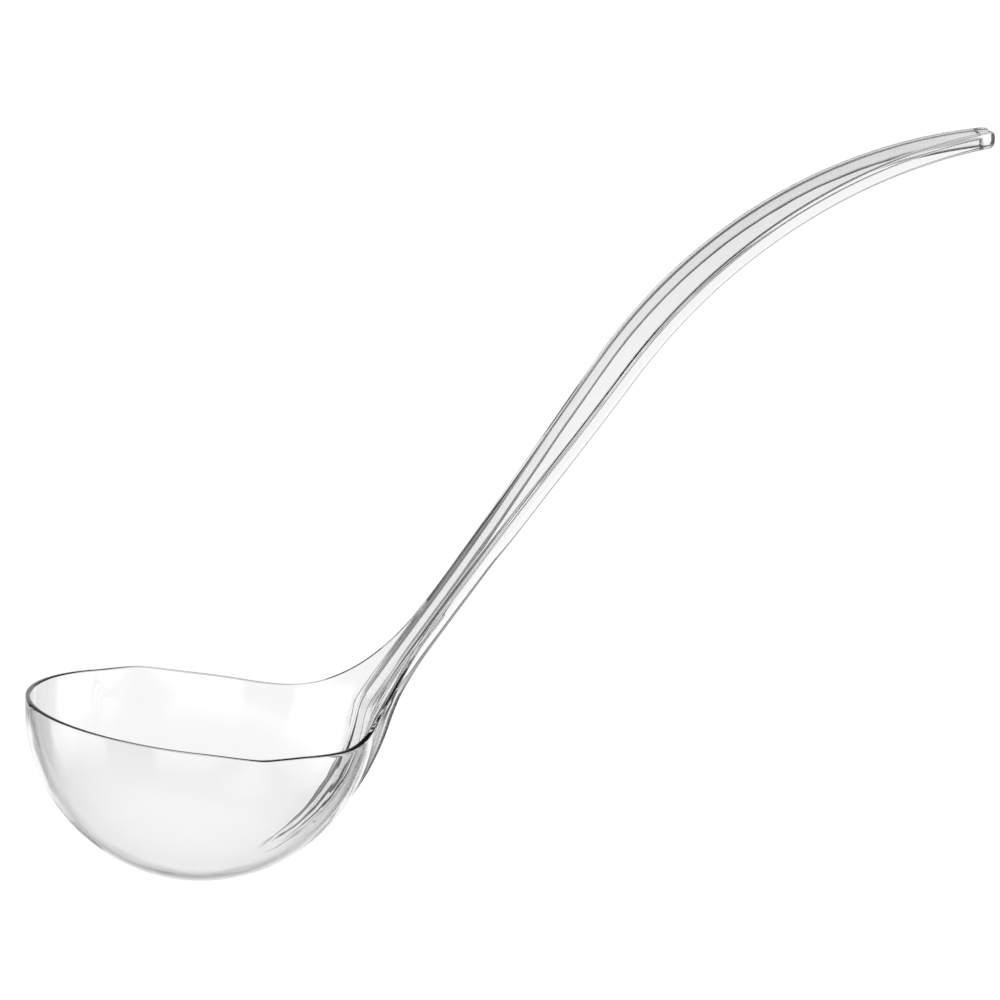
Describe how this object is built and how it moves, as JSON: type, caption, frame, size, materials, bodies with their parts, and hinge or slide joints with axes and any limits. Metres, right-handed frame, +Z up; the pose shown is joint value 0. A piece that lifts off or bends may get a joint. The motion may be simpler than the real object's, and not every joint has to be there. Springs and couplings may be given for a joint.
{
  "type": "punch ladle",
  "caption": "Clear plastic punch ladle: round bowl with pour points on both sides, a web sweeping up into a slim curved handle of channel section, ribs down the back.",
  "frame": {"origin": "middle of the bowl's mouth, in the plane of its rim", "axes": "+Z up out of the bowl, square to the rim; +X from the bowl towards the handle; +Y and -Y towards the two pour points"},
  "size_m": [0.2381, 0.0938, 0.1992],
  "materials": {
    "clear_plastic": "clear polystyrene, polished mould finish, slightly wavy on the bowl"
  },
  "bodies": {
    "root": {"ladle": "clear_plastic"}
  },
  "joints": []
}
